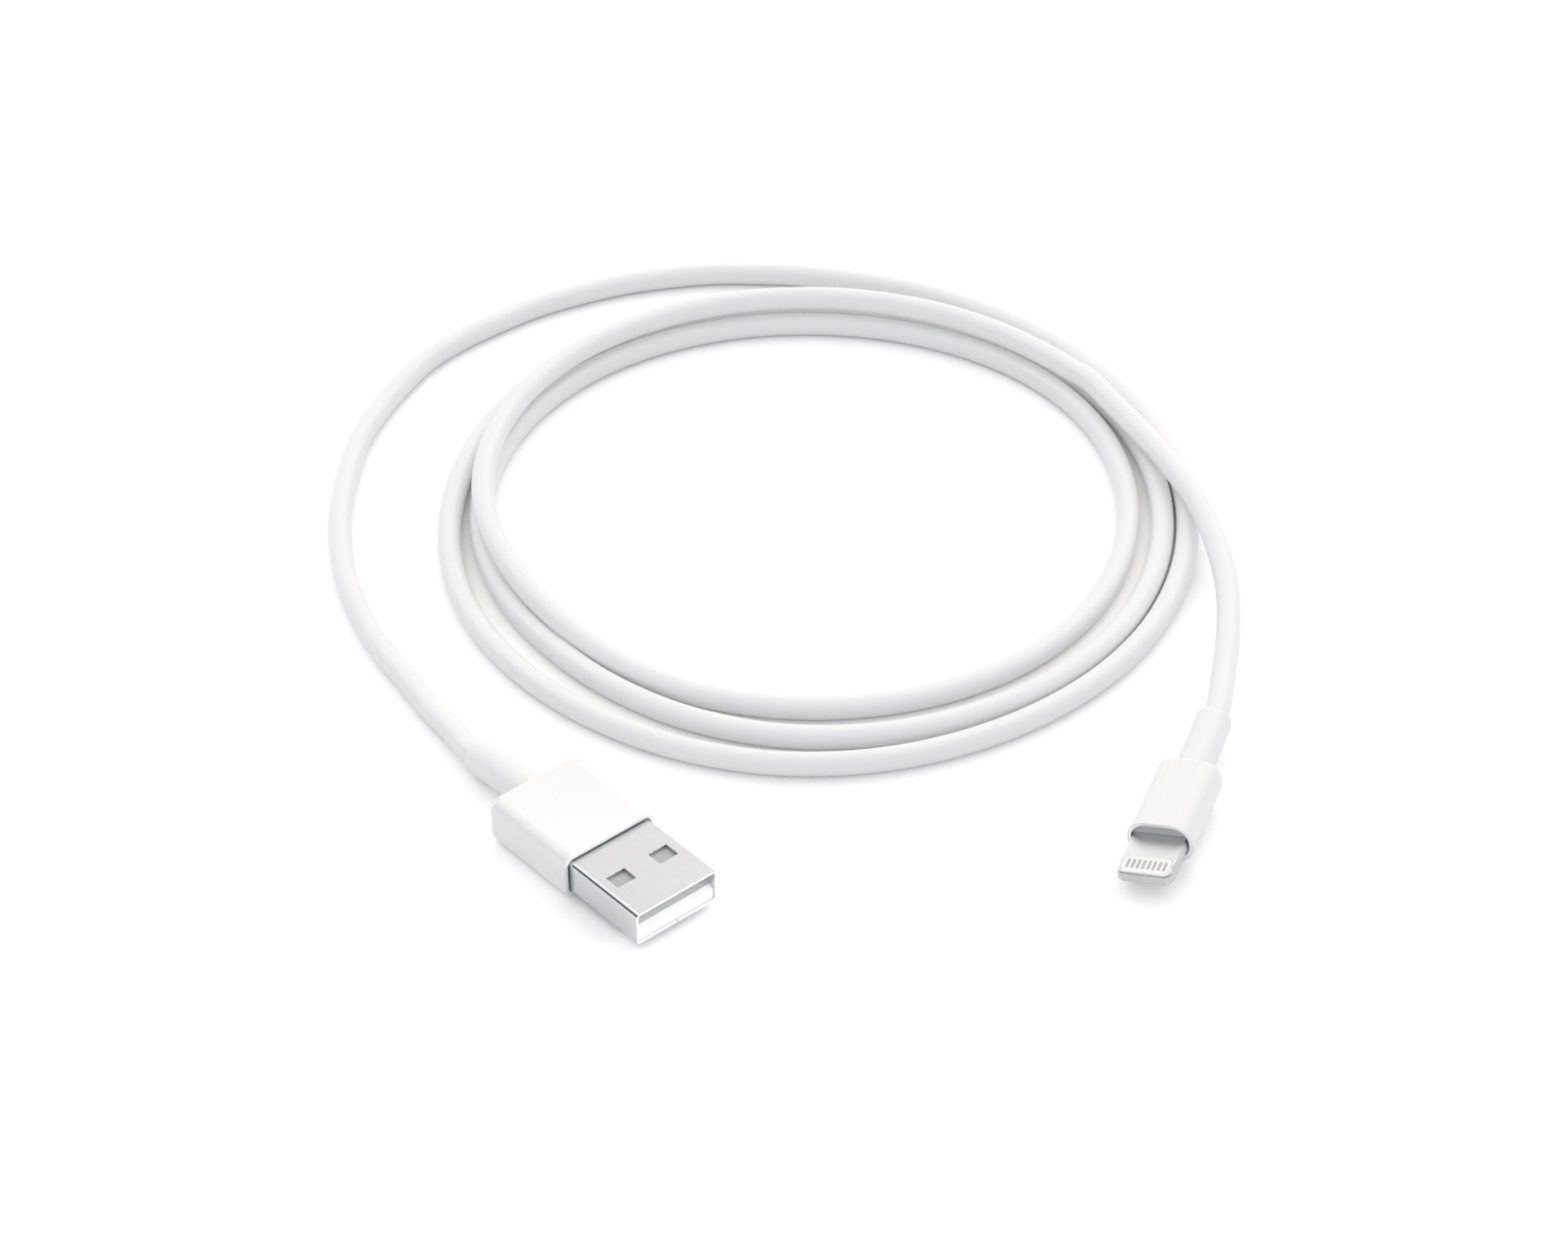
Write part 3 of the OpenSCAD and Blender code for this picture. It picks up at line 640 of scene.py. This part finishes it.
TIP_ROUTE = [
    [-18.16, 106.63, 4.95], [-9.89, 104.45, 4.95], [-2.08, 102.01, 4.95], [1.86, 100.55, 4.93],
    [5.69, 98.89, 4.85], [9.31, 96.98, 4.68], [12.79, 94.83, 4.45], [15.95, 92.7, 4.2],
    [19.05, 90.25, 3.98], [21.99, 87.58, 3.82], [25.55, 83.83, 3.72], [29.23, 79.57, 3.76],
    [32.69, 75.26, 3.9],
]
COIL_MIDDLE = (-30.1, 63.4)
COIL_FROM = 135
COIL_RADII = np.array([
    58.9,
    54.3, 50.3, 49.2, 50.2, 51.3, 48.6, 45.9, 46.6,
    46.5, 46.6, 45.9, 46.6, 46.1, 42.7, 42.2, 42.9,
    42.9, 43.1, 41.5, 41.3, 40.6, 40.2, 42.0, 43.8,
    44.2, 44.4, 45.6,
])
CLIMB = 3.45
CLIMB_FROM, CLIMB_TO = 20.3, 21.7
COIL_STEP = 1 / 3
A_BIT = 0.01
SPACING = 0.75
AROUND = 24
PAST_RELIEF = 1.5


def coil_points(step):
    """Points of the loops at steps of an eighth of a turn, clockwise from COIL_FROM. The radius
    is a Catmull-Rom blend of the four nearest values, and the height eases up from one layer to
    the next."""
    i = np.clip(np.floor(step).astype(int), 0, len(COIL_RADII) - 4)
    f = step - i
    a, b, c, d = (COIL_RADII[i + k] for k in range(4))
    bend = 2 * a - 5 * b + 4 * c - d + f * (3 * (b - c) + d - a)
    radius = b + f / 2 * (c - a + f * bend)
    angle = np.radians(COIL_FROM - 45 * step)
    t = np.clip((step - CLIMB_FROM) / (CLIMB_TO - CLIMB_FROM), 0, 1)
    height = CORD / 2 + CLIMB * t * t * (3 - 2 * t)
    x = COIL_MIDDLE[0] + radius * np.cos(angle)
    y = COIL_MIDDLE[1] + radius * np.sin(angle)
    return np.stack([x, y, height], axis=1)


def smooth_line(points, spacing):
    """Evenly spaced points on a cubic through the given ones, which leaves each in the mean
    direction of its two neighbours, weighted by their nearness."""
    gap = np.diff(points, axis=0)
    run = np.linalg.norm(gap, axis=1)
    at = np.concatenate([[0], np.cumsum(run)])
    slope = gap / run[:, None]
    mean = slope[:-1] * run[1:, None] + slope[1:] * run[:-1, None]
    aim = np.vstack([slope[:1], mean / (run[:-1] + run[1:])[:, None], slope[-1:]])
    t = np.linspace(0, at[-1], round(at[-1] / spacing) + 1)
    i = np.clip(np.searchsorted(at, t, side="right") - 1, 0, len(run) - 1)
    h = run[i][:, None]
    f = (t - at[i])[:, None] / h
    return (
        (1 + 2 * f) * (1 - f) ** 2 * points[i]
        + f * (1 - f) ** 2 * h * aim[i]
        + f**2 * (3 - 2 * f) * points[i + 1]
        + f**2 * (f - 1) * h * aim[i + 1]
    )


def tube(line, radius, around):
    """Rings round a line that is never upright: each a circle square to it, counted from its
    level side."""
    along = np.gradient(line, axis=0)
    along /= np.linalg.norm(along, axis=1)[:, None]
    side = np.cross((0.0, 0.0, 1.0), along)
    side /= np.linalg.norm(side, axis=1)[:, None]
    up = np.cross(along, side)
    angle = np.linspace(0, 2 * np.pi, around, endpoint=False)
    cosine, sine = np.cos(angle)[None, :, None], np.sin(angle)[None, :, None]
    return line[:, None] + radius * (cosine * side[:, None] + sine * up[:, None])


last_step = len(COIL_RADII) - 3
pairs = (0, A_BIT), (last_step - A_BIT, last_step)
start_way, end_way = (
    (b - a) / np.linalg.norm(b - a) for a, b in (coil_points(np.array(pair)) for pair in pairs)
)
coil = coil_points(np.arange(0, last_step + A_BIT, COIL_STEP))
coil_start = coil[0] - CORD * start_way
coil_end = coil[-1] + CORD * end_way


def exit_points(start, long, aside, drop, place):
    """Two points of the cord, in millimetres, at the free end of a bent relief and past it."""
    axis = [(start - long - past * MM, 0, 0) for past in (0, PAST_RELIEF)]
    return (bent(axis, start, long, aside, drop) @ place[:3, :3].T + place[:3, 3]) / MM


usb_exit = exit_points(*USB_BEND, usb_axis)
tip_exit = exit_points(*TIP_BEND, tip_place)
route = np.vstack([
    usb_exit, USB_ROUTE, coil_start - CORD * start_way, coil_start,
    coil, coil_end, coil_end + CORD * end_way, TIP_ROUTE, tip_exit[::-1],
])
line = smooth_line(route, SPACING) * MM
line[:, 2] = np.maximum(line[:, 2], CORD / 2 * MM)

jacket = grained(
    "jacket", (0.92, 0.92, 0.92), (0.905, 0.907, 0.915), (0.3, 0.4), 0.15 * MM, 2e-6,
    drawn=(1, 1, 0.08), laid="straightened",
)
cord = skin("cord", tube(line, CORD / 2 * MM, AROUND), False, jacket)
run = np.concatenate([[0], np.cumsum(np.linalg.norm(np.diff(line, axis=0), axis=1))])
angle = np.tile(np.linspace(0, 2 * np.pi, AROUND, endpoint=False), len(line))
straight = np.stack([
    CORD / 2 * MM * np.cos(angle), CORD / 2 * MM * np.sin(angle), np.repeat(run, AROUND)
], axis=1)
straight = np.vstack([straight, (0, 0, 0), (0, 0, run[-1])])
laid = cord.data.attributes.new("straightened", "FLOAT_VECTOR", "POINT")
laid.data.foreach_set("vector", straight.astype(np.float32).ravel())
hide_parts("usb_lead", "cable_coil", "tip_lead")


# ---------------------------------------------------------------- floor
# A plain white table top. What the camera and reflections see of it is lifted to paper
# white, and the soft shadows of the pieces stay on it.

FLOOR = 3.0
FLOOR_LEVEL = -2e-5
floor_mesh = bpy.data.meshes.new("floor")
corners = (-FLOOR, -FLOOR), (FLOOR, -FLOOR), (FLOOR, FLOOR), (-FLOOR, FLOOR)
floor_mesh.from_pydata([(x, y, FLOOR_LEVEL) for x, y in corners], [], [(0, 1, 2, 3)])
floor = bpy.data.objects.new("floor", floor_mesh)
bpy.context.scene.collection.objects.link(floor)
PAPER = 0.8
PAPER_SEEN = 1.2
LIFT = 0.02
paper = bpy.data.materials.new("paper")
paper.use_nodes = True
tree = paper.node_tree
tree.nodes.remove(tree.nodes["Principled BSDF"])
matt = tree.nodes.new("ShaderNodeBsdfDiffuse")
matt.inputs["Color"].default_value = (PAPER, PAPER, PAPER, 1)
shown = tree.nodes.new("ShaderNodeBsdfDiffuse")
shown.inputs["Color"].default_value = (PAPER_SEEN, PAPER_SEEN, PAPER_SEEN, 1)
lift = tree.nodes.new("ShaderNodeEmission")
lift.inputs["Strength"].default_value = LIFT
bright = tree.nodes.new("ShaderNodeAddShader")
either = tree.nodes.new("ShaderNodeMixShader")
rays = tree.nodes.new("ShaderNodeLightPath")
seen = tree.nodes.new("ShaderNodeMath")
seen.operation = "ADD"
seen_too = tree.nodes.new("ShaderNodeMath")
seen_too.operation = "ADD"
seen_too.use_clamp = True
tree.links.new(rays.outputs["Is Camera Ray"], seen.inputs[0])
tree.links.new(rays.outputs["Is Glossy Ray"], seen.inputs[1])
tree.links.new(seen.outputs[0], seen_too.inputs[0])
tree.links.new(rays.outputs["Is Transmission Ray"], seen_too.inputs[1])
tree.links.new(shown.outputs[0], bright.inputs[0])
tree.links.new(lift.outputs[0], bright.inputs[1])
tree.links.new(seen_too.outputs[0], either.inputs[0])
tree.links.new(matt.outputs[0], either.inputs[1])
tree.links.new(bright.outputs[0], either.inputs[2])
tree.links.new(either.outputs[0], tree.nodes["Material Output"].inputs["Surface"])
floor_mesh.materials.append(paper)


# ---------------------------------------------------------------- light
# A white tent, a little dimmer overhead, whose panels are brighter or darker than its walls:
# two bright ones behind draw the highlights along the grips and the shell, a dark one at
# the left draws the line beside them, and a small lamp fills the USB plug's mouth.

world = bpy.data.worlds.new("tent")
bpy.context.scene.world = world
world.use_nodes = True
tree = world.node_tree
tent = tree.nodes["Background"]
way = tree.nodes.new("ShaderNodeTexCoord")
# The walls' colour, then each panel: how it fades, the way to its middle, the cosines at
# which it begins and is full, and the colour it adds.
WALLS = (1.03, 1.04, 1.08)
BEHIND = (-0.144, 0.68, 0.719)
PANELS = (
    ("LINEAR", (0, 0, 1), 0, 1, (-0.24, -0.25, -0.34)),
    ("LINEAR", (1, 0, 0.2), 0, 1, (-0.11, -0.11, -0.09)),
    ("LINEAR", (-1, 0, 0.2), 0, 1, (0.17, 0.17, 0.18)),
    ("LINEAR", (0, 1, 0.2), 0, 1, (-0.07, -0.08, -0.09)),
    ("LINEAR", (0, -1, 0.2), 0, 1, (0.15, 0.14, 0.16)),
    ("SMOOTHSTEP", (0, -1, 0.25), 0.5, 0.95, (-0.2, -0.2, -0.2)),
    ("SMOOTHSTEP", (-0.6, -0.78, 0.2), 0.5, 0.95, (-0.12, -0.12, -0.12)),
    ("SMOOTHSTEP", (0.7, -0.7, 0.25), 0.5, 0.95, (0.12, 0.12, 0.15)),
    ("SMOOTHSTEP", (1, 0, 0.25), 0.5, 0.95, (-0.25, -0.24, -0.22)),
    ("SMOOTHSTEP", BEHIND, 0.7, 0.9, (0.26, 0.23, 0.22)),
    ("SMOOTHSTEP", BEHIND, 0.906, 0.94, (0.7, 0.7, 0.7)),
    ("SMOOTHSTEP", (-0.633, -0.112, 0.766), 0.914, 0.961, (0.6, 0.6, 0.6)),
    ("SMOOTHSTEP", (-0.611, -0.729, 0.309), 0.9, 0.97, (-0.85, -0.85, -0.85)),
)
sum_so_far = None
for kind, aim, edge, full, colour in PANELS:
    facing = tree.nodes.new("ShaderNodeVectorMath")
    facing.operation = "DOT_PRODUCT"
    facing.inputs[1].default_value = Vector(aim).normalized()
    tree.links.new(way.outputs["Generated"], facing.inputs[0])
    reach = tree.nodes.new("ShaderNodeMapRange")
    reach.interpolation_type = kind
    reach.inputs["From Min"].default_value = edge
    reach.inputs["From Max"].default_value = full
    tree.links.new(facing.outputs["Value"], reach.inputs["Value"])
    panel = tree.nodes.new("ShaderNodeVectorMath")
    panel.operation = "MULTIPLY_ADD"
    panel.inputs[0].default_value = colour
    tree.links.new(reach.outputs["Result"], panel.inputs[1])
    if sum_so_far:
        tree.links.new(sum_so_far, panel.inputs[2])
    else:
        panel.inputs[2].default_value = WALLS
    sum_so_far = panel.outputs["Vector"]
rays = tree.nodes.new("ShaderNodeLightPath")
seen = tree.nodes.new("ShaderNodeMix")
seen.data_type = "RGBA"
seen.inputs["B"].default_value = (1, 1, 1, 1)
tree.links.new(rays.outputs["Is Camera Ray"], seen.inputs["Factor"])
tree.links.new(sum_so_far, seen.inputs["A"])
tree.links.new(seen.outputs["Result"], tent.inputs["Color"])

FILL_AIM = Vector((19.1, 0, 1.8)) * MM
FILL_WAY = Vector((0.8, 0.56, 0.21)).normalized()
FILL_FAR = 120 * MM
fill = bpy.data.lights.new("mouth_fill", "SPOT")
fill.energy = 0.9
fill.spot_size = np.radians(10)
fill.spot_blend = 1
fill.shadow_soft_size = 15 * MM
fill_lamp = bpy.data.objects.new("mouth_fill", fill)
bpy.context.scene.collection.objects.link(fill_lamp)
fill_lamp.location = FILL_AIM + FILL_FAR * FILL_WAY
fill_lamp.rotation_mode = "QUATERNION"
fill_lamp.rotation_quaternion = FILL_WAY.to_track_quat("Z", "Y")

bpy.context.scene.view_settings.view_transform = "Standard"
